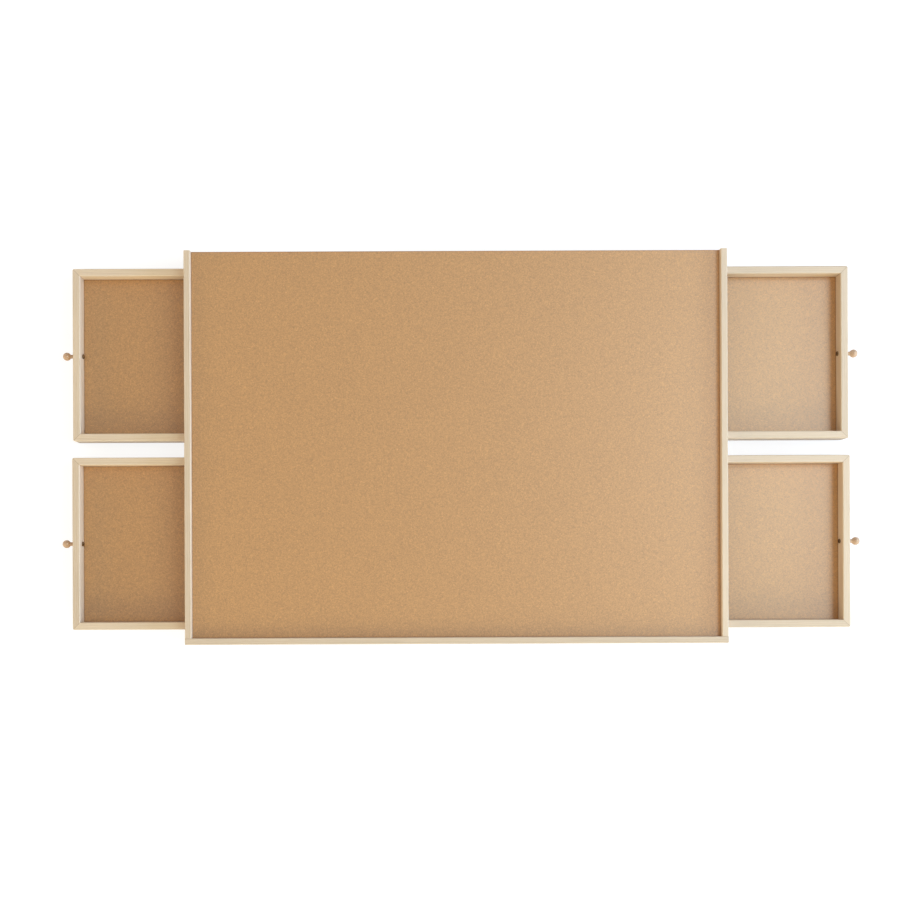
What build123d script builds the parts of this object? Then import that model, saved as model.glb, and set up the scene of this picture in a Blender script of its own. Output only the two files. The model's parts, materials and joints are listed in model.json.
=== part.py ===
"""Wooden jigsaw-puzzle board with four sorting drawers.

A hardboard work surface lies in a low pine frame with a raised lip at the front and at both ends.
Under it two drawers slide out of each end, on ledges that also carry the frame. The drawers are
drawn part of the way out.

Millimetres, +Z up. X runs along the drawers' travel and -Y is the front. The origin is on the
table, under the middle of the board.
"""

import os

from build123d import *

# Overall size of the board, without the drawers that stand out of it
board_length = 762.0
board_depth = 553.0
board_height = 51.0

# Work surface: a sheet held in grooves in the front rail and both rims
surface_thickness = 4.0
surface_groove_depth = 4.0
sheet_play = 0.2
sheet_edge_radius = 0.6

# Frame strips round and under the work surface
rim_width = 9.0
lip_height = 9.0
rim_under_surface = 5.2
guide_thickness = 10.5
divider_thickness = 21.0
stop_bar_width = 18.0
ledge_thickness = 4.5
ledge_reach = 5.0
strip_edge_radius = 1.0

# Drawers: mitred, grooved walls round a thin bottom sheet
drawer_wall = 10.5
drawer_side_gap = 1.25
drawer_top_gap = 1.0
slide_gap = 0.3
closing_gap = 0.5
bottom_thickness = 3.0
bottom_height = 3.0
bottom_groove_depth = 5.0
drawer_edge_radius = 1.2
drawer_corner_radius = 2.5

# How far each drawer stands out of its end of the board
drawer_pull = {"back_left": 161.0, "front_left": 162.5, "back_right": 175.5, "front_right": 177.5}

# Ball knob turned with a foot and a coved neck, and the screw that holds it from inside the drawer
knob_diameter = 11.5
knob_length = 17.5
knob_foot_diameter = 8.5
knob_foot_thickness = 1.2
neck_diameter = 5.5
neck_cove_radius = 1.2
knob_screw_diameter = 3.5
knob_screw_grip = 10.0
pan_head_diameter = 6.5
pan_head_height = 2.2
pan_head_radius = 1.4

# Countersunk screws that hold the ledges from below
ledge_screw_count = 4
ledge_screw_end_distance = 61.0
ledge_screw_diameter = 3.0
ledge_screw_length = 16.0
ledge_screw_point = 3.0
sunk_head_diameter = 6.0
sunk_head_depth = 0.3

# Cross recess and hole clearance of both kinds of screw
recess_length = 3.2
recess_width = 0.9
recess_depth = 0.9
screw_clearance = 0.1

# Heights of the stacked pieces above the table
surface_base = board_height - lip_height - surface_thickness
rim_base = surface_base - rim_under_surface
drawer_base = ledge_thickness + slide_gap
drawer_height = rim_base - drawer_top_gap - drawer_base

# Plan of the frame, and of the bays between the guides and the divider
half_length = board_length / 2
half_depth = board_depth / 2
rail_face = half_depth - rim_width
guide_face = rail_face - guide_thickness
divider_face = divider_thickness / 2
bay_width = guide_face - divider_face
bay_middle = (guide_face + divider_face) / 2
ledge_overhang = drawer_side_gap + drawer_wall + ledge_reach

# Plan of a drawer
drawer_width = bay_width - 2 * drawer_side_gap
drawer_length = half_length - stop_bar_width / 2 - closing_gap
inner_length = drawer_length - 2 * drawer_wall
inner_width = drawer_width - 2 * drawer_wall

# Places of the ledge screws along the board and across it
ledge_screw_span = board_length - 2 * ledge_screw_end_distance
ledge_screw_step = ledge_screw_span / (ledge_screw_count - 1)
ledge_screw_places = [i * ledge_screw_step - ledge_screw_span / 2 for i in range(ledge_screw_count)]
guide_middle = (rail_face + guide_face) / 2
pilot_radius = ledge_screw_diameter / 2 + screw_clearance
pilot_end = sunk_head_depth + ledge_screw_length + screw_clearance


def keep_piece(piece, label):
    """Name a finished piece and write it to its own file."""
    piece.part.label = label
    export_step(piece.part, f"parts/{label}.step")


def side_rim(side):
    """Grooved strip over the mouths of two drawers: side -1 is the left end, +1 the right end."""
    middle = side * (half_length - rim_width / 2)
    groove_middle = side * (half_length - rim_width + surface_groove_depth / 2)
    with BuildPart() as rim:
        with BuildSketch(Plane.XZ.offset(-half_depth)) as section:
            with Locations((middle, rim_base)):
                Rectangle(rim_width, board_height - rim_base, align=(Align.CENTER, Align.MIN))
            fillet(section.vertices(), strip_edge_radius)
            with Locations((groove_middle, surface_base)):
                Rectangle(
                    surface_groove_depth,
                    surface_thickness + sheet_play,
                    align=(Align.CENTER, Align.MIN),
                    mode=Mode.SUBTRACT,
                )
        extrude(amount=board_depth - rim_width)
    return rim


def notched_board(middle, thickness, base):
    """Board on edge under the work surface, its upper corners cut away to carry the rims."""
    with BuildPart() as board:
        with BuildSketch(Plane.XZ.offset(-middle)):
            with Locations((0, base)):
                Rectangle(board_length, surface_base - base, align=(Align.CENTER, Align.MIN))
            with Locations((-half_length, rim_base), (half_length - rim_width, rim_base)):
                Rectangle(rim_width, rim_under_surface, align=Align.MIN, mode=Mode.SUBTRACT)
        extrude(amount=thickness / 2, both=True)
    return board


def screwed_board(middle, thickness):
    """Notched board that stands on a ledge, bored from below for the ledge's screws."""
    upright = notched_board(middle, thickness, ledge_thickness)
    with BuildPart() as board:
        add(upright.part)
        with BuildSketch(Plane.XY.offset(ledge_thickness)):
            with Locations(*[(place, middle) for place in ledge_screw_places]):
                Circle(pilot_radius)
        extrude(amount=pilot_end - ledge_thickness, mode=Mode.SUBTRACT)
    return board


def ledge(near_edge, far_edge, screw_line):
    """Flat strip between two lines along the board, countersunk from below for its screws."""
    from_below = [Location((place, screw_line, 0), (180, 0, 0)) for place in ledge_screw_places]
    with BuildPart() as strip:
        with BuildSketch():
            with Locations((0, near_edge)):
                Rectangle(board_length, far_edge - near_edge, align=(Align.CENTER, Align.MIN))
        extrude(amount=ledge_thickness)
        with Locations(*from_below):
            CounterSinkHole(
                radius=pilot_radius,
                counter_sink_radius=sunk_head_diameter / 2 + sunk_head_depth + screw_clearance,
                counter_sink_angle=90,
            )
    return strip


def stop_bar(row):
    """Cross bar that the backs of two closed drawers meet: row -1 is the front, +1 the back."""
    with BuildPart() as bar:
        with BuildSketch(Plane.XY.offset(ledge_thickness)):
            with Locations((0, row * bay_middle)):
                Rectangle(stop_bar_width, bay_width)
        extrude(amount=surface_base - ledge_thickness)
    return bar


def drawer_ring(seat):
    """Walls of one drawer before they are cut apart: eased top edges, and a groove for the bottom."""
    with BuildPart() as ring:
        with BuildSketch(seat):
            with Locations((-drawer_length / 2, 0)):
                RectangleRounded(drawer_length, drawer_width, drawer_corner_radius)
                Rectangle(inner_length, inner_width, mode=Mode.SUBTRACT)
        extrude(amount=drawer_height)
        with BuildSketch(seat.offset(bottom_height)):
            with Locations((-drawer_length / 2, 0)):
                Rectangle(inner_length + 2 * bottom_groove_depth, inner_width + 2 * bottom_groove_depth)
        extrude(amount=bottom_thickness + sheet_play, mode=Mode.SUBTRACT)
        fillet(ring.faces().sort_by(Axis.Z)[-1].edges(), drawer_edge_radius)
    return ring


def mitred_wall(ring, seat, out_x, out_y):
    """The wall that faces (out_x, out_y) on the drawer, cut out of the ring at its two mitres."""
    middle = seat.from_local_coords(Vector(-drawer_length / 2, 0, 0))
    outward = seat.x_dir * out_x + seat.y_dir * out_y
    along = seat.z_dir.cross(outward)
    reach, half_run = drawer_length / 2, drawer_width / 2
    if out_y:
        reach, half_run = half_run, reach
    with BuildPart() as wall:
        add(ring.part)
        split(bisect_by=Plane(middle, z_dir=outward), keep=Keep.TOP)
        for end in (-1, 1):
            corner = middle + outward * reach + along * (end * half_run)
            split(bisect_by=Plane(corner, z_dir=outward - along * end), keep=Keep.TOP)
    return wall


def knob_plane(seat, distance):
    """Plane across the knob's axis, this far out from the face of the drawer front."""
    centre = seat.from_local_coords(Vector(distance, 0, drawer_height / 2))
    return Plane(centre, x_dir=seat.y_dir, z_dir=seat.x_dir)


def drawer_front(ring, seat):
    """Front wall of a drawer, bored for the knob's screw."""
    plain_front = mitred_wall(ring, seat, 1, 0)
    with BuildPart() as front:
        add(plain_front.part)
        with BuildSketch(knob_plane(seat, 0)):
            Circle(knob_screw_diameter / 2 + screw_clearance)
        extrude(amount=-drawer_wall, mode=Mode.SUBTRACT)
    return front


def drawer_bottom(seat):
    """Thin sheet held in the groove of the drawer's walls."""
    held = 2 * (bottom_groove_depth - sheet_play)
    with BuildPart() as bottom:
        with BuildSketch(seat.offset(bottom_height)):
            with Locations((-drawer_length / 2, 0)):
                Rectangle(inner_length + held, inner_width + held)
        extrude(amount=bottom_thickness)
    return bottom


def turned_knob(seat):
    """Ball on a coved neck and a foot, turned about the knob's axis and bored for its screw."""
    foot = knob_plane(seat, 0).origin
    with BuildPart() as knob:
        with BuildSketch(Plane(foot, x_dir=seat.x_dir, z_dir=seat.y_dir)) as section:
            with Locations((knob_length - knob_diameter / 2, 0)):
                Circle(knob_diameter / 2)
            Rectangle(knob_length / 2, neck_diameter, align=(Align.MIN, Align.CENTER))
            Rectangle(knob_foot_thickness, knob_foot_diameter, align=(Align.MIN, Align.CENTER))
            corner_rows = section.vertices().group_by(Axis.X)
            neck_corners = corner_rows[1].sort_by(Axis.Y)[1:3] + corner_rows[2]
            fillet(neck_corners, neck_cove_radius)
            Rectangle(
                2 * (knob_screw_grip + screw_clearance),
                knob_screw_diameter + 2 * screw_clearance,
                mode=Mode.SUBTRACT,
            )
            Rectangle(2 * knob_length, knob_diameter, align=(Align.CENTER, Align.MAX), mode=Mode.SUBTRACT)
        revolve(axis=Axis(foot, seat.x_dir))
    return knob


def knob_screw(seat):
    """Pan-head screw from inside the drawer, through its front and into the knob."""
    with BuildPart() as screw:
        with BuildSketch(knob_plane(seat, -drawer_wall)):
            Circle(pan_head_diameter / 2)
        extrude(amount=-pan_head_height)
        head_face = screw.faces().sort_by(Axis(knob_plane(seat, 0).origin, seat.x_dir))[0]
        fillet(head_face.edges(), pan_head_radius)
        with BuildSketch(knob_plane(seat, -drawer_wall)):
            Circle(knob_screw_diameter / 2)
        extrude(amount=drawer_wall + knob_screw_grip)
        with BuildSketch(knob_plane(seat, -drawer_wall - pan_head_height)):
            Rectangle(recess_length, recess_width)
            Rectangle(recess_width, recess_length)
        extrude(amount=recess_depth, mode=Mode.SUBTRACT)
    return screw


os.makedirs("parts", exist_ok=True)

# Work surface: let into the front rail and the rims, and flush with the back rail
with BuildPart() as work_surface:
    sheet_front = -rail_face - surface_groove_depth + sheet_play
    sheet_length = 2 * (half_length - rim_width + surface_groove_depth - sheet_play)
    with BuildSketch(Plane.XY.offset(surface_base)):
        with Locations((0, sheet_front)):
            Rectangle(sheet_length, half_depth - sheet_front, align=(Align.CENTER, Align.MIN))
    extrude(amount=surface_thickness)
    back_edges = work_surface.edges().filter_by(Axis.X).group_by(Axis.Y)[-1]
    fillet(back_edges.sort_by(Axis.Z)[-1], sheet_edge_radius)
keep_piece(work_surface, "work_surface")

# Front rail: full height, with a groove for the sheet that stops short of the ends
with BuildPart() as front_rail:
    with BuildSketch():
        with Locations((0, -half_depth)):
            Rectangle(board_length, rim_width, align=(Align.CENTER, Align.MIN))
    extrude(amount=board_height)
    with BuildSketch(Plane.XY.offset(surface_base)):
        with Locations((0, -rail_face)):
            Rectangle(
                2 * (half_length - rim_width + surface_groove_depth),
                surface_groove_depth,
                align=(Align.CENTER, Align.MAX),
            )
    extrude(amount=surface_thickness + sheet_play, mode=Mode.SUBTRACT)
    top_edges = front_rail.edges().filter_by(Axis.X).group_by(Axis.Z)[-1]
    front_corners = front_rail.edges().filter_by(Axis.Z).group_by(Axis.Y)[0]
    fillet(top_edges + front_corners, strip_edge_radius)
keep_piece(front_rail, "front_rail")

# Rest of the frame
keep_piece(side_rim(-1), "left_rim")
keep_piece(side_rim(1), "right_rim")
keep_piece(notched_board((half_depth + rail_face) / 2, rim_width, 0), "back_rail")
keep_piece(screwed_board(-guide_middle, guide_thickness), "front_guide")
keep_piece(screwed_board(guide_middle, guide_thickness), "back_guide")
keep_piece(screwed_board(0, divider_thickness), "centre_divider")
keep_piece(stop_bar(-1), "front_stop_bar")
keep_piece(stop_bar(1), "back_stop_bar")

# Ledges that the drawers slide on, each under its guide or the divider
keep_piece(ledge(-rail_face, ledge_overhang - guide_face, -guide_middle), "front_ledge")
keep_piece(ledge(guide_face - ledge_overhang, rail_face, guide_middle), "back_ledge")
keep_piece(ledge(-divider_face - ledge_overhang, divider_face + ledge_overhang, 0), "centre_ledge")

# Ledge screws: one turned profile at each place, with a cross recess in the head
with BuildPart() as ledge_screws:
    shank_radius = ledge_screw_diameter / 2
    head_radius = sunk_head_diameter / 2
    head_foot = Plane.XY.offset(sunk_head_depth)
    screw_places = [(x, y) for y in (-guide_middle, 0, guide_middle) for x in ledge_screw_places]
    for x, y in screw_places:
        axis_foot = head_foot.from_local_coords(Vector(x, y, 0))
        with BuildSketch(Plane(axis_foot, x_dir=(1, 0, 0), z_dir=(0, -1, 0))):
            with BuildLine():
                Polyline(
                    (0, 0),
                    (head_radius, 0),
                    (shank_radius, head_radius - shank_radius),
                    (shank_radius, ledge_screw_length - ledge_screw_point),
                    (0, ledge_screw_length),
                    close=True,
                )
            make_face()
        revolve(axis=Axis(axis_foot, (0, 0, 1)))
    with BuildSketch(head_foot):
        with Locations(*screw_places):
            Rectangle(recess_length, recess_width)
            Rectangle(recess_width, recess_length)
    extrude(amount=recess_depth, mode=Mode.SUBTRACT)
keep_piece(ledge_screws, "ledge_screws")

# Drawers: each is built on a seat at the foot of its front, which faces out of the board
for place, pull in drawer_pull.items():
    row = 1 if place.startswith("back") else -1
    side = 1 if place.endswith("right") else -1
    front_foot = (side * (half_length + pull), row * bay_middle, drawer_base)
    seat = Plane(front_foot, x_dir=(side, 0, 0), z_dir=(0, 0, 1))
    outer = row * side
    ring = drawer_ring(seat)
    keep_piece(drawer_front(ring, seat), f"{place}_drawer_front")
    keep_piece(mitred_wall(ring, seat, -1, 0), f"{place}_drawer_back")
    keep_piece(mitred_wall(ring, seat, 0, outer), f"{place}_drawer_outer_side")
    keep_piece(mitred_wall(ring, seat, 0, -outer), f"{place}_drawer_inner_side")
    keep_piece(drawer_bottom(seat), f"{place}_drawer_bottom")
    keep_piece(turned_knob(seat), f"{place}_knob")
    keep_piece(knob_screw(seat), f"{place}_knob_screw")
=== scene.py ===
"""Looks of a wooden jigsaw-puzzle board with four sorting drawers, seen straight from above.

The solids of the frame stay where they are, and each gets its finish here. Brads that pin the wood
are added, then the table, the light and the camera. Metres, +Z up; grain is worked out in millimetres.
"""

import json
import math
import random

import bpy
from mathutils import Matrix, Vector

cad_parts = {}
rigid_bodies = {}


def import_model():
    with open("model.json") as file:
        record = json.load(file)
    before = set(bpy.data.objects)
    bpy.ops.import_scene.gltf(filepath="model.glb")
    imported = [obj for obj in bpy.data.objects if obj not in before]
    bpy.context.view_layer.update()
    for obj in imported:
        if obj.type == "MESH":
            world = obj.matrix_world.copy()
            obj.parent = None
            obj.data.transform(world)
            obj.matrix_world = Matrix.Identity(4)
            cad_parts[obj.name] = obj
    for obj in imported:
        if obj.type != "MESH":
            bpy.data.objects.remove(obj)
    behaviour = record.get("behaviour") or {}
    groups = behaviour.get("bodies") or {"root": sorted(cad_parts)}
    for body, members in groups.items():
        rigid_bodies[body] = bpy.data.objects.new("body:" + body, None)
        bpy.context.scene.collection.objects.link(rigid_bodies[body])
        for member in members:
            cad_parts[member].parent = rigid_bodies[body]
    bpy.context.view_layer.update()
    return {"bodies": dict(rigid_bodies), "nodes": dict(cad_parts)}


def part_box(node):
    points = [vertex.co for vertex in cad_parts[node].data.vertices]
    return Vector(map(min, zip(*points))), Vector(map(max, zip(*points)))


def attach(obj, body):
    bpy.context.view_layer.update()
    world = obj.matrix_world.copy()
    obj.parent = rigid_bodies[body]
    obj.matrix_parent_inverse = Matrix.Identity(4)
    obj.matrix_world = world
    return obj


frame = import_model()

# Ledges, guides, divider and stop bars: the strips under the work surface that carry it and keep the
# drawers in line. They are ripped from straight-grained pine, planed and left bare. The ledges are
# screwed on from below, and the rest is glued and pinned.
grain_along_x = 0.0
grain_along_y = math.radians(90)
millimetres = 1000.0
early_wood = (0.707, 0.549, 0.392, 1)
late_wood = (0.555, 0.374, 0.209, 1)
sanded_edge = (0.760, 0.640, 0.470, 1)
end_grain_tint = (0.83, 0.77, 0.70, 1)
glue_line = (0.33, 0.20, 0.10, 1)
ring_width = 2.4
ring_drift = 14.0
drift_cycles = (0.004, 0.012, 0.012)
fibre_cycles = (0.03, 1.9, 1.9)
cloud_cycles = (0.006, 0.05, 0.05)
fleck_cycles = (0.16, 3.2, 3.2)
ring_depths = (0.6, 0.4)
late_wood_starts = 0.45
late_wood_peaks = 0.86
late_share = 0.50
fleck_levels = (0.66, 0.76)
fleck_share = 0.30
sanded_share = 0.30
board_tones = (0.42, 0.55)
fibre_contrast = 0.14
cloud_contrast = 0.12
end_face_levels = (0.75, 0.95)
flat_facing = 0.99
eased_facing = 0.86
ring_relief = 0.5
grain_bump = 0.3
grain_depth = 0.00012
pine_roughness = (0.46, 0.10)
pine_gloss = 0.6
log_reach = 900
pith_aside = (45, 110)
pith_below = (25, 70)
lumber_stack = random.Random(36055)


def add_node(tree, kind, inputs=None, **settings):
    """Add a node to a tree; an input is linked where it is given a socket, and set otherwise."""
    node = tree.nodes.new(kind)
    for name, value in settings.items():
        setattr(node, name, value)
    for key, value in (inputs or {}).items():
        if isinstance(value, bpy.types.NodeSocket):
            tree.links.new(value, node.inputs[key])
        else:
            node.inputs[key].default_value = value
    return node


def calc(tree, operation, *values):
    """Work out a number from one, two or three others."""
    return add_node(tree, "ShaderNodeMath", dict(enumerate(values)), operation=operation).outputs[0]


def calc_vector(tree, operation, *values, output=0):
    """Work out a vector, or with output 1 a number, from one or more vectors."""
    node = add_node(tree, "ShaderNodeVectorMath", dict(enumerate(values)), operation=operation)
    return node.outputs[output]


def fade(tree, value, start, end):
    """Smooth step from 0 at start to 1 at end."""
    inputs = {"Value": value, "From Min": start, "From Max": end}
    return add_node(tree, "ShaderNodeMapRange", inputs, interpolation_type="SMOOTHSTEP").outputs[0]


def swing(tree, value, middle, reach):
    """Turn a 0 to 1 value into one that swings about the middle by the reach."""
    return calc(tree, "MULTIPLY_ADD", value, 2 * reach, middle - reach)


def blend(tree, share, colour, other, way="MIX"):
    """Lay the other colour over the first by the share."""
    inputs = {0: share, 6: colour, 7: other}
    return add_node(tree, "ShaderNodeMix", inputs, data_type="RGBA", blend_type=way).outputs[2]


def brighten(tree, colour, factor):
    """Multiply a colour by a number."""
    return add_node(tree, "ShaderNodeVectorMath", {0: colour, "Scale": factor}, operation="SCALE").outputs[0]


def noise(tree, place, cycles, detail=2.0, output=0):
    """Noise drawn out along the axes: cycles is how many turns it makes in a millimetre along each."""
    drawn = calc_vector(tree, "MULTIPLY", place, cycles)
    inputs = {"Vector": drawn, "Scale": 1.0, "Detail": detail, "Roughness": 0.55}
    return add_node(tree, "ShaderNodeTexNoise", inputs).outputs[output]


def place_in_millimetres(tree, shift=(0, 0, 0), turn=0.0):
    """Where a point of the piece lies, in millimetres, turned about Z and then shifted."""
    inputs = {
        "Vector": add_node(tree, "ShaderNodeTexCoord").outputs["Object"],
        "Location": shift,
        "Rotation": (0, 0, -turn),
        "Scale": (millimetres,) * 3,
    }
    return add_node(tree, "ShaderNodeMapping", inputs).outputs[0]


def facing(tree):
    """How far the surface faces along X, Y and Z, each from 0 to 1."""
    normal = add_node(tree, "ShaderNodeTexCoord").outputs["Normal"]
    return calc_vector(tree, "ABSOLUTE", normal)


def eased_edge(tree):
    """1 on the rounded edges, which face along no axis, and 0 on the flat faces."""
    parts = add_node(tree, "ShaderNodeSeparateXYZ", {0: facing(tree)})
    sideways = calc(tree, "MAXIMUM", parts.outputs[0], parts.outputs[1])
    most = calc(tree, "MAXIMUM", sideways, parts.outputs[2])
    return fade(tree, most, flat_facing, eased_facing)


def new_finish(name):
    """A new material, its node tree and its surface shader."""
    material = bpy.data.materials.new(name)
    material.use_nodes = True
    return material, material.node_tree, material.node_tree.nodes["Principled BSDF"]


def dress(node, material):
    """Give a solid of the frame its finish."""
    for slot in frame["nodes"][node].material_slots:
        slot.material = material


def pine(name, grain_turn, glue_seam=None):
    """Bare planed pine, sawn beside the pith so that faces, edges and ends show the same rings."""
    material, tree, shader = new_finish(name)
    sawn_at = (
        lumber_stack.uniform(-log_reach, log_reach),
        lumber_stack.uniform(*pith_aside) * lumber_stack.choice((-1, 1)),
        lumber_stack.uniform(*pith_below),
    )
    board_tone = lumber_stack.uniform(*board_tones)
    log = place_in_millimetres(tree, sawn_at, grain_turn)
    drift = noise(tree, log, drift_cycles, output=1)
    bent = calc_vector(tree, "MULTIPLY_ADD", drift, (0, ring_drift, ring_drift), log)
    from_pith = calc_vector(tree, "LENGTH", calc_vector(tree, "MULTIPLY", bent, (0, 1, 1)), output=1)
    years = calc(tree, "DIVIDE", from_pith, ring_width)
    ring = add_node(tree, "ShaderNodeValToRGB", {0: calc(tree, "FRACT", years)})
    ring.color_ramp.elements[0].color = (0, 0, 0, 1)
    ring.color_ramp.elements[1].color = (0, 0, 0, 1)
    ring.color_ramp.elements.new(late_wood_starts).color = (0.12, 0.12, 0.12, 1)
    ring.color_ramp.elements.new(late_wood_peaks).color = (1, 1, 1, 1)
    year_tone = add_node(
        tree, "ShaderNodeTexWhiteNoise", {"W": calc(tree, "FLOOR", years)}, noise_dimensions="1D"
    ).outputs[0]
    late = calc(tree, "MULTIPLY", ring.outputs[0], swing(tree, year_tone, *ring_depths))
    fibres = noise(tree, log, fibre_cycles, detail=3)
    cloud = noise(tree, log, cloud_cycles)
    flecks = fade(tree, noise(tree, log, fleck_cycles, detail=0), *fleck_levels)
    edge = eased_edge(tree)
    along_grain = (math.cos(grain_turn), math.sin(grain_turn), 0)
    end_facing = calc_vector(tree, "DOT_PRODUCT", facing(tree), along_grain, output=1)
    end_face = fade(tree, end_facing, *end_face_levels)

    colour = blend(tree, calc(tree, "MULTIPLY", late, late_share), early_wood, late_wood)
    colour = blend(tree, calc(tree, "MULTIPLY", flecks, fleck_share), colour, late_wood)
    fibre_tone = swing(tree, fibres, board_tone, fibre_contrast)
    cloud_tone = swing(tree, cloud, 0.5, cloud_contrast)
    colour = brighten(tree, colour, calc(tree, "ADD", fibre_tone, cloud_tone))
    colour = blend(tree, end_face, colour, end_grain_tint, "MULTIPLY")
    colour = blend(tree, calc(tree, "MULTIPLY", edge, sanded_share), colour, sanded_edge)
    if glue_seam:
        colour = blend(tree, glue_seam(tree), colour, glue_line)
    relief = calc(tree, "MULTIPLY_ADD", late, ring_relief, fibres)
    grain = {"Strength": grain_bump, "Distance": grain_depth, "Height": relief}
    bump = add_node(tree, "ShaderNodeBump", grain)
    tree.links.new(colour, shader.inputs["Base Color"])
    tree.links.new(swing(tree, fibres, *pine_roughness), shader.inputs["Roughness"])
    tree.links.new(bump.outputs[0], shader.inputs["Normal"])
    shader.inputs["Specular IOR Level"].default_value = pine_gloss
    return material


for node in ("front_ledge", "back_ledge", "centre_ledge", "front_guide", "back_guide", "centre_divider"):
    dress(node, pine(f"pine_of_{node}", grain_along_x))
for node in ("front_stop_bar", "back_stop_bar"):
    dress(node, pine(f"pine_of_{node}", grain_along_y))

# Rails and rims: the planed pine strips that frame the work surface, with eased edges. The front rail
# stands full height and holds the sheet in a groove, the rims cross the drawers' mouths, and the back
# rail ends below the sheet.
for node in ("front_rail", "back_rail"):
    dress(node, pine(f"pine_of_{node}", grain_along_x))
for node in ("left_rim", "right_rim"):
    dress(node, pine(f"pine_of_{node}", grain_along_y))

# Work surface: a sheet of smooth tempered hardboard, pressed from wood fibre, slid into the grooves of
# the front rail and the rims and left open along the back. Its cut edge is darker, and its back shows
# the weave of the screen that it was pressed on.
# The sheet carries a thin line of painted shade where it meets the rims and the front rail.
hardboard_tan = (0.460, 0.229, 0.0738, 1)
pale_fibre = (0.640, 0.420, 0.220, 1)
dark_fleck = (0.270, 0.130, 0.045, 1)
cut_edge_and_shade_tint = (0.66, 0.58, 0.52, 1)
sheet_reach = 900
fibre_turns = (0.30, 1.35, 2.40)
felt_cycles = (0.30, 1.15, 1.15)
speck_cycles = (0.7, 0.7, 0.7)
mottle_cycles = (0.018, 0.018, 0.018)
felt_contrast = 1.05
stray_levels = (0.68, 0.80)
stray_share = 0.35
speck_levels = (0.70, 0.80)
speck_share = 0.35
mottle_contrast = 0.03
# Width and dark core of the painted shade at the border of the open face, in millimetres.
painted_shade_width = 1.6
painted_shade_core = 0.48
cut_edge_levels = (0.9, 0.4)
underside_levels = (-0.2, -0.8)
screen_mesh = 2.6
screen_contrast = 0.12
screen_relief = 0.8
felt_bump = 0.2
felt_depth = 0.0001
hardboard_roughness = (0.43, 0.10)
hardboard_gloss = 1.0


def hardboard(name, low, high):
    """Smooth-faced hardboard with a soft sheen: felted fibres in every direction and a few dark flecks.

    A thin line of painted shade follows the border of the open face, which runs from the low to the high
    corner.
    """
    material, tree, shader = new_finish(name)
    half = (high - low) / 2 * millimetres
    from_centre = place_in_millimetres(tree, -(low + high) / 2 * millimetres)
    parts = add_node(tree, "ShaderNodeSeparateXYZ", {0: calc_vector(tree, "ABSOLUTE", from_centre)}).outputs
    from_end = calc(tree, "SUBTRACT", half.x, parts[0])
    from_side = calc(tree, "SUBTRACT", half.y, parts[1])
    border = calc(tree, "MINIMUM", from_end, from_side)
    # Painted shade: the face darkens in a thin line along its border, where it runs into the grooves of the
    # walls.
    painted_border_shade = fade(tree, border, painted_shade_width, painted_shade_core)
    cut_at = (
        lumber_stack.uniform(-sheet_reach, sheet_reach),
        lumber_stack.uniform(-sheet_reach, sheet_reach),
        0,
    )
    sheet = place_in_millimetres(tree, cut_at)
    layers = []
    for turn in fibre_turns:
        laid = add_node(tree, "ShaderNodeMapping", {"Vector": sheet, "Rotation": (0, 0, turn)}).outputs[0]
        layers.append(noise(tree, laid, felt_cycles, detail=2))
    pile = calc(tree, "ADD", calc(tree, "ADD", *layers[:2]), layers[2])
    felt = calc(tree, "MULTIPLY", pile, 1 / len(layers))
    stray = fade(tree, calc(tree, "MAXIMUM", *layers[:2]), *stray_levels)
    specks = fade(tree, noise(tree, sheet, speck_cycles, detail=1), *speck_levels)
    mottle = noise(tree, sheet, mottle_cycles, detail=3)
    normal = add_node(tree, "ShaderNodeTexCoord").outputs["Normal"]
    up = add_node(tree, "ShaderNodeSeparateXYZ", {0: normal}).outputs[2]
    cut_edge = fade(tree, calc(tree, "ABSOLUTE", up), *cut_edge_levels)
    wires = calc_vector(tree, "SINE", calc_vector(tree, "MULTIPLY", sheet, (2 * math.pi / screen_mesh,) * 3))
    wire_parts = add_node(tree, "ShaderNodeSeparateXYZ", {0: wires}).outputs
    weave = calc(tree, "MULTIPLY", *wire_parts[:2])
    screen = calc(tree, "MULTIPLY", weave, fade(tree, up, *underside_levels))

    colour = blend(tree, calc(tree, "MULTIPLY", stray, stray_share), hardboard_tan, pale_fibre)
    colour = blend(tree, calc(tree, "MULTIPLY", specks, speck_share), colour, dark_fleck)
    felt_tone = swing(tree, felt, 0.5, felt_contrast)
    tone = calc(tree, "ADD", felt_tone, swing(tree, mottle, 0.5, mottle_contrast))
    colour = brighten(tree, colour, calc(tree, "MULTIPLY_ADD", screen, screen_contrast, tone))
    # The cut edge is darker in its own colour. The border line is painted shade in the same tint.
    colour = blend(tree, calc(tree, "MAXIMUM", cut_edge, painted_border_shade), colour, cut_edge_and_shade_tint, "MULTIPLY")
    relief = calc(tree, "MULTIPLY_ADD", screen, screen_relief, felt)
    fibre = {"Strength": felt_bump, "Distance": felt_depth, "Height": relief}
    bump = add_node(tree, "ShaderNodeBump", fibre)
    tree.links.new(colour, shader.inputs["Base Color"])
    tree.links.new(swing(tree, felt, *hardboard_roughness), shader.inputs["Roughness"])
    tree.links.new(bump.outputs[0], shader.inputs["Normal"])
    shader.inputs["Specular IOR Level"].default_value = hardboard_gloss
    return material


def between(one, other, axis):
    """Inner faces of two solids that face each other along an axis, the lower one first."""
    (one_low, one_high), (other_low, other_high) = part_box(one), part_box(other)
    return min(one_high[axis], other_high[axis]), max(one_low[axis], other_low[axis])


left, right = between("left_rim", "right_rim", 0)
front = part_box("front_rail")[1].y
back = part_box("work_surface")[1].y
open_face = Vector((left, front, 0)), Vector((right, back, 0))
dress("work_surface", hardboard("hardboard_of_work_surface", *open_face))

# Ledge screws: countersunk steel screws with a cross recess, darkened against rust to a brownish black.
# They are driven up through the ledges into the guides and the divider.
steel_black = (0.070, 0.036, 0.016, 1)
steel_rubbed = (0.190, 0.110, 0.052, 1)
patch_cycles = (0.9, 0.9, 0.9)
rubbed_levels = (0.50, 0.75)
steel_roughness = (0.42, 0.15)
steel_metal = 0.9


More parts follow.
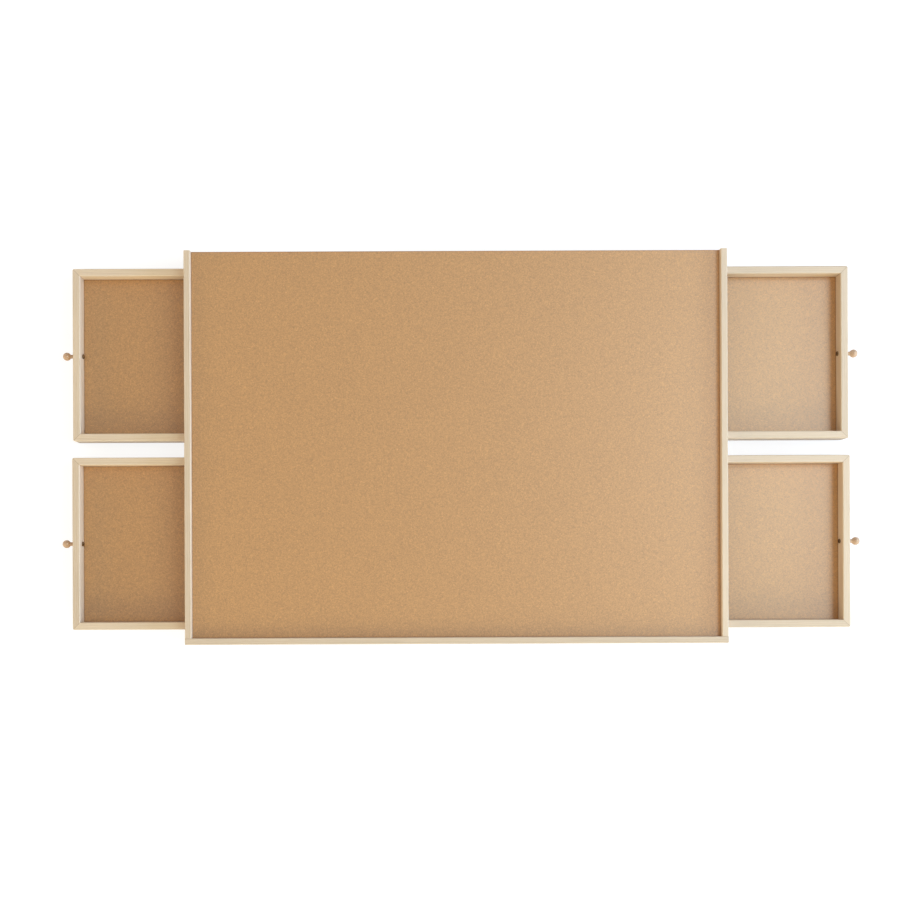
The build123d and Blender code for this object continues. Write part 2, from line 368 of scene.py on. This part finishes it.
def blackened_steel(name):
    """Darkened steel, rubbed paler in patches and on its edges."""
    material, tree, shader = new_finish(name)
    place = place_in_millimetres(tree)
    patches = noise(tree, place, patch_cycles, detail=3)
    rubbed = calc(tree, "MAXIMUM", fade(tree, patches, *rubbed_levels), eased_edge(tree))
    tree.links.new(blend(tree, rubbed, steel_black, steel_rubbed), shader.inputs["Base Color"])
    tree.links.new(swing(tree, patches, *steel_roughness), shader.inputs["Roughness"])
    shader.inputs["Metallic"].default_value = steel_metal
    return material


screw_steel = blackened_steel("blackened_screw_steel")
dress("ledge_screws", screw_steel)

# Brads of the frame: thin round-headed pins driven through the rails and rims into the boards behind
# them, nearly flush. The nail gun leaves them a little out of line.
brad_head = 0.0018
brad_proud = 0.00012
brad_wander = 0.0007
brad_sides = 14
brad_rings = 8
rail_brads = 6
rail_brad_end = 0.055
rail_end_heights = (0.28, 0.72)


def brad_tree():
    """Nodes that put a low round head on each point, turned to its facing, with a small wander."""
    tree = bpy.data.node_groups.new("brad_heads", "GeometryNodeTree")
    tree.interface.new_socket("Points", in_out="INPUT", socket_type="NodeSocketGeometry")
    for name in ("Head Diameter", "Head Rise", "Wander"):
        tree.interface.new_socket(name, in_out="INPUT", socket_type="NodeSocketFloat")
    tree.interface.new_socket("Seed", in_out="INPUT", socket_type="NodeSocketInt")
    tree.interface.new_socket("Steel", in_out="INPUT", socket_type="NodeSocketMaterial")
    tree.interface.new_socket("Heads", in_out="OUTPUT", socket_type="NodeSocketGeometry")
    given = add_node(tree, "NodeGroupInput").outputs
    radius = calc(tree, "MULTIPLY", given["Head Diameter"], 0.5)
    round_form = {"Segments": brad_sides, "Rings": brad_rings, "Radius": radius}
    ball = add_node(tree, "GeometryNodeMeshUVSphere", round_form)
    flatness = calc(tree, "DIVIDE", given["Head Rise"], radius)
    flat = add_node(tree, "ShaderNodeCombineXYZ", {0: 1, 1: 1, 2: flatness})
    head = add_node(tree, "GeometryNodeTransform", {"Geometry": ball.outputs[0], "Scale": flat.outputs[0]})
    outward = add_node(tree, "GeometryNodeInputNamedAttribute", {"Name": "facing"}, data_type="FLOAT_VECTOR")
    along = calc_vector(tree, "SUBTRACT", (1, 1, 1), calc_vector(tree, "ABSOLUTE", outward.outputs[0]))
    strayed = add_node(
        tree,
        "FunctionNodeRandomValue",
        {0: (-1, -1, -1), 1: (1, 1, 1), "Seed": given["Seed"]},
        data_type="FLOAT_VECTOR",
    ).outputs[0]
    offset = calc_vector(tree, "MULTIPLY", calc_vector(tree, "MULTIPLY", strayed, along), given["Wander"])
    driven = add_node(tree, "GeometryNodeSetPosition", {"Geometry": given["Points"], "Offset": offset})
    turned = add_node(tree, "FunctionNodeAlignRotationToVector", {"Vector": outward.outputs[0]}, axis="Z")
    heads = add_node(
        tree,
        "GeometryNodeInstanceOnPoints",
        {"Points": driven.outputs[0], "Instance": head.outputs[0], "Rotation": turned.outputs[0]},
    )
    real = add_node(tree, "GeometryNodeRealizeInstances", {0: heads.outputs[0]})
    steel = add_node(
        tree, "GeometryNodeSetMaterial", {"Geometry": real.outputs[0], "Material": given["Steel"]}
    )
    add_node(tree, "NodeGroupOutput", {0: steel.outputs[0]})
    return tree


brad_heads = brad_tree()


def drive_brads(name, places, body):
    """Make one mesh of brad heads from a list of (point, facing), and let it ride on the body."""
    mesh = bpy.data.meshes.new(name)
    mesh.from_pydata([point for point, outward in places], [], [])
    outward = mesh.attributes.new("facing", "FLOAT_VECTOR", "POINT")
    outward.data.foreach_set("vector", [part for point, normal in places for part in normal])
    brads = bpy.data.objects.new(name, mesh)
    bpy.context.scene.collection.objects.link(brads)
    nodes = brads.modifiers.new("brad_heads", "NODES")
    nodes.node_group = brad_heads
    chosen = {
        "Head Diameter": brad_head,
        "Head Rise": brad_proud,
        "Wander": brad_wander,
        "Seed": len(places),
        "Steel": screw_steel,
    }
    for socket in brad_heads.interface.items_tree:
        if socket.in_out == "INPUT" and socket.name in chosen:
            nodes[socket.identifier] = chosen[socket.name]
    finished = brads.evaluated_get(bpy.context.evaluated_depsgraph_get())
    heads = bpy.data.meshes.new_from_object(finished)
    brads.modifiers.clear()
    brads.data = heads
    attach(brads, body)


def middle(node, axis):
    """Middle of a solid of the frame along an axis."""
    low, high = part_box(node)
    return (low[axis] + high[axis]) / 2


frame_brads = []
for rail, guide, side in (("front_rail", "front_guide", -1), ("back_rail", "back_guide", 1)):
    low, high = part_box(rail)
    face = high.y if side > 0 else low.y
    step = (high.x - low.x - 2 * rail_brad_end) / (rail_brads - 1)
    for count in range(rail_brads):
        point = (low.x + rail_brad_end + count * step, face, middle(guide, 2))
        frame_brads.append((point, (0, side, 0)))
for rim, side in (("left_rim", -1), ("right_rim", 1)):
    low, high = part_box(rim)
    face = high.x if side > 0 else low.x
    for board in ("front_guide", "centre_divider", "back_guide", "back_rail"):
        notch_middle = (low.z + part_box(board)[1].z) / 2
        frame_brads.append(((face, middle(board, 1), notch_middle), (side, 0, 0)))
    for share in rail_end_heights:
        point = (middle(rim, 0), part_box("front_rail")[0].y, low.z + share * (high.z - low.z))
        frame_brads.append((point, (0, -1, 0)))
drive_brads("frame_brads", frame_brads, "carcass")

# Drawer walls: planed pine, grooved for the bottom and mitred at the corners, with a glued seam that
# shows as a thin dark line across the top of each corner.
drawers = [body for body in frame["bodies"] if body.endswith("_drawer")]
seam_width = 0.22
seam_share = 0.75


def mitre_seam(drawer):
    """Mask of the glue lines at the four corners of a drawer."""
    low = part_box(f"{drawer}_outer_side")[0]
    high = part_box(f"{drawer}_outer_side")[1]
    for wall in ("front", "back", "inner_side"):
        wall_low, wall_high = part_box(f"{drawer}_{wall}")
        low = Vector(map(min, low, wall_low))
        high = Vector(map(max, high, wall_high))
    half = (high - low) / 2 * millimetres
    centre = (high + low) / 2 * millimetres

    def seam(tree):
        place = calc_vector(tree, "ABSOLUTE", place_in_millimetres(tree, -centre))
        parts = add_node(tree, "ShaderNodeSeparateXYZ", {0: place}).outputs
        from_end = calc(tree, "SUBTRACT", half.x, parts[0])
        from_side = calc(tree, "SUBTRACT", half.y, parts[1])
        distance = calc(tree, "ABSOLUTE", calc(tree, "SUBTRACT", from_end, from_side))
        line = fade(tree, distance, 2.5 * seam_width, 0.5 * seam_width)
        return calc(tree, "MULTIPLY", line, seam_share)

    return seam


for drawer in drawers:
    for wall in ("front", "back"):
        dress(f"{drawer}_{wall}", pine(f"pine_of_{drawer}_{wall}", grain_along_y, mitre_seam(drawer)))
    for wall in ("outer_side", "inner_side"):
        dress(f"{drawer}_{wall}", pine(f"pine_of_{drawer}_{wall}", grain_along_x, mitre_seam(drawer)))

# Drawer bottoms: thin hardboard, smooth face up, held all round in the grooves of the walls.
# Each is cut from another part of the sheet.
# Their open faces carry the same painted shade along the feet of the walls.
for drawer in drawers:
    left, right = between(f"{drawer}_front", f"{drawer}_back", 0)
    front, back = between(f"{drawer}_outer_side", f"{drawer}_inner_side", 1)
    open_face = Vector((left, front, 0)), Vector((right, back, 0))
    dress(f"{drawer}_bottom", hardboard(f"hardboard_of_{drawer}_bottom", *open_face))

# Knobs: small balls with a coved neck, turned from a close-grained hardwood dowel and lightly sealed.
# Fine marks of the lathe run round them.
knob_wood = (0.650, 0.425, 0.268, 1)
knob_ring = (0.520, 0.308, 0.164, 1)
knob_ring_width = 1.3
knob_ring_drift = 2.0
knob_ring_levels = (0.40, 0.10)
knob_drift_cycles = (0.05, 0.15, 0.15)
knob_fibre_cycles = (0.15, 3.0, 3.0)
knob_fibre_contrast = 0.25
off_pith = Vector((0, 6, 4))
lathe_mark = 0.45
lathe_relief = 0.3
lathe_bump = 0.15
lathe_depth = 0.00008
knob_roughness = (0.42, 0.10)
sealer_share = 0.25
sealer_roughness = 0.28


def turned_wood(name, knob):
    """Close-grained dowel wood round the knob's own axis, with a thin satin sealer."""
    material, tree, shader = new_finish(name)
    low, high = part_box(knob)
    dowel = place_in_millimetres(tree, off_pith - (low + high) / 2 * millimetres)
    drift = noise(tree, dowel, knob_drift_cycles, output=1)
    bent = calc_vector(tree, "MULTIPLY_ADD", drift, (0, knob_ring_drift, knob_ring_drift), dowel)
    from_pith = calc_vector(tree, "LENGTH", calc_vector(tree, "MULTIPLY", bent, (0, 1, 1)), output=1)
    ring = calc(tree, "SINE", calc(tree, "MULTIPLY", from_pith, 2 * math.pi / knob_ring_width))
    fibres = noise(tree, dowel, knob_fibre_cycles, detail=3)
    along = add_node(tree, "ShaderNodeSeparateXYZ", {0: dowel}).outputs[0]
    lathe = calc(tree, "SINE", calc(tree, "MULTIPLY", along, 2 * math.pi / lathe_mark))
    colour = blend(tree, swing(tree, ring, *knob_ring_levels), knob_wood, knob_ring)
    colour = brighten(tree, colour, swing(tree, fibres, 1.0, knob_fibre_contrast))
    relief = calc(tree, "MULTIPLY_ADD", lathe, lathe_relief, fibres)
    marks = {"Strength": lathe_bump, "Distance": lathe_depth, "Height": relief}
    bump = add_node(tree, "ShaderNodeBump", marks)
    tree.links.new(colour, shader.inputs["Base Color"])
    tree.links.new(swing(tree, fibres, *knob_roughness), shader.inputs["Roughness"])
    tree.links.new(bump.outputs[0], shader.inputs["Normal"])
    shader.inputs["Coat Weight"].default_value = sealer_share
    shader.inputs["Coat Roughness"].default_value = sealer_roughness
    return material


places = [drawer.removesuffix("_drawer") for drawer in drawers]
for place in places:
    dress(f"{place}_knob", turned_wood(f"turned_wood_of_{place}_knob", f"{place}_knob"))

# Knob screws: pan-headed steel screws from inside each drawer, through its front and into the knob.
# They have the same dark finish as the ledge screws.
for place in places:
    dress(f"{place}_knob_screw", screw_steel)

# Drawer brads: two steel pins at each corner, the same as those of the frame. They are driven through
# the side into the end of the front or the back, and hold the mitre while its glue sets.
corner_heights = (0.25, 0.75)
for drawer in drawers:
    corner_brads = []
    for wall in ("outer_side", "inner_side"):
        low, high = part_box(f"{drawer}_{wall}")
        side = 1 if middle(f"{drawer}_{wall}", 1) > middle(f"{drawer}_bottom", 1) else -1
        face = high.y if side > 0 else low.y
        for end in ("front", "back"):
            for share in corner_heights:
                point = (middle(f"{drawer}_{end}", 0), face, low.z + share * (high.z - low.z))
                corner_brads.append((point, (0, side, 0)))
    drive_brads(f"{drawer}_brads", corner_brads, drawer)

# Table: a plain white top that the board stands on. Seen by the camera it is nearly all glow, so that
# it stays white and keeps a faint shadow near the board; to the board it is a matt pale grey.
table_reach = 6.0
shadow_reach = (1.0, 2.0)
table_grey = (0.45, 0.45, 0.45, 1)
shadow_share = 0.30
light_on_table = 0.6


def seen_directly(tree):
    """1 for a ray from the camera, or one mirrored or passed on to it, and 0 for other light."""
    path = add_node(tree, "ShaderNodeLightPath").outputs
    mirrored = calc(tree, "MAXIMUM", path["Is Glossy Ray"], path["Is Transmission Ray"])
    return calc(tree, "MAXIMUM", path["Is Camera Ray"], mirrored)


corners = [(x * table_reach, y * table_reach, 0) for x, y in ((-1, -1), (1, -1), (1, 1), (-1, 1))]
table_mesh = bpy.data.meshes.new("table")
table_mesh.from_pydata(corners, [], [(0, 1, 2, 3)])
table = bpy.data.objects.new("table", table_mesh)
bpy.context.scene.collection.objects.link(table)
table_finish = bpy.data.materials.new("white_table")
table_finish.use_nodes = True
tree = table_finish.node_tree
paint = add_node(tree, "ShaderNodeBsdfDiffuse", {"Color": table_grey})
shade = add_node(tree, "ShaderNodeBsdfDiffuse", {"Color": (shadow_share,) * 3 + (1,)})
glow = add_node(tree, "ShaderNodeEmission", {"Strength": 1 - light_on_table * shadow_share})
near = add_node(tree, "ShaderNodeAddShader", {0: shade.outputs[0], 1: glow.outputs[0]})
far = add_node(tree, "ShaderNodeEmission", {"Strength": 1.0})
spot = add_node(tree, "ShaderNodeTexCoord").outputs["Object"]
distance = fade(tree, calc_vector(tree, "LENGTH", spot, output=1), *shadow_reach)
bright = add_node(tree, "ShaderNodeMixShader", {0: distance, 1: near.outputs[0], 2: far.outputs[0]})
both = add_node(
    tree, "ShaderNodeMixShader", {0: seen_directly(tree), 1: paint.outputs[0], 2: bright.outputs[0]}
)
tree.links.new(both.outputs[0], tree.nodes["Material Output"].inputs["Surface"])
table_mesh.materials.append(table_finish)

# Light: a pale room, brighter round the walls than overhead, with tall windows on the right. The sheen
# that they lay on smooth surfaces is a lamp of its own, seen only in gloss. Low daylight from the right
# and the warm walls in front and on the left fill in, seen only in matt colours.
room_overhead = 0.28
room_round = 0.89
room_tint = (1.05, 1.01, 0.94, 1)
high_daylight = (0.85, 1.06, 1.09)
low_daylight = (0.60, 0.91, 1.49)
sheen_white = (0.93, 1.03, 0.99)
front_wall_white = (1.10, 1.10, 0.80)
left_wall_cream = (1.23, 1.06, 0.71)
board_middle = Vector((0, 0, 0))


def soft_light(name, place, size, power, colour, matt=True, gloss=True):
    """A soft rectangular light that faces the board and shows in its matt colours, its gloss or both."""
    lamp = bpy.data.lights.new(name, "AREA")
    lamp.shape = "RECTANGLE"
    lamp.size, lamp.size_y = size
    lamp.energy = power
    lamp.color = colour
    light = bpy.data.objects.new(name, lamp)
    light.location = place
    light.rotation_euler = (board_middle - Vector(place)).to_track_quat("-Z", "Y").to_euler()
    light.visible_camera = False
    light.visible_diffuse = matt
    light.visible_glossy = gloss
    bpy.context.scene.collection.objects.link(light)


soft_light("high_window", place=(6.10, 0.50, 6.60), size=(6.0, 5.4), power=187, colour=high_daylight)
soft_light(
    "window_sheen", place=(5.16, 1.00, 7.37), size=(3.6, 4.5), power=455, colour=sheen_white, matt=False
)
soft_light(
    "low_window", place=(4.20, -0.20, 1.20), size=(2.4, 1.2), power=142, colour=low_daylight, gloss=False
)
soft_light(
    "front_wall", place=(0.30, -3.20, 1.30), size=(3.0, 1.8), power=58, colour=front_wall_white, gloss=False
)
soft_light(
    "left_wall", place=(-3.20, -0.30, 1.20), size=(3.0, 1.8), power=28.4, colour=left_wall_cream, gloss=False
)

world = bpy.data.worlds.new("room")
world.use_nodes = True
bpy.context.scene.world = world
tree = world.node_tree
room = tree.nodes["Background"]
direction = add_node(tree, "ShaderNodeTexCoord").outputs["Generated"]
height = calc(tree, "ABSOLUTE", add_node(tree, "ShaderNodeSeparateXYZ", {0: direction}).outputs[2])
room_level = calc(tree, "MULTIPLY_ADD", height, room_overhead - room_round, room_round)
room_light = calc(tree, "MAXIMUM", seen_directly(tree), room_level)
tree.links.new(room_light, room.inputs["Strength"])
room_colour = blend(tree, seen_directly(tree), room_tint, (1, 1, 1, 1))
tree.links.new(room_colour, room.inputs["Color"])

# Camera: straight above the front half of the board, turned a hair, with the picture shifted so that
# the whole board lies in the middle of it.
camera_data = bpy.data.cameras.new("camera")
camera_data.sensor_width = 36.0
camera_data.lens = 49.56
camera_data.shift_x = 0.0272
camera_data.shift_y = 0.1366
camera = bpy.data.objects.new("camera", camera_data)
camera.location = (-0.0435, -0.1769, 1.7866)
camera.rotation_euler = (0, 0, math.radians(-0.23))
bpy.context.scene.collection.objects.link(camera)
bpy.context.scene.camera = camera
bpy.context.scene.view_settings.view_transform = "Standard"
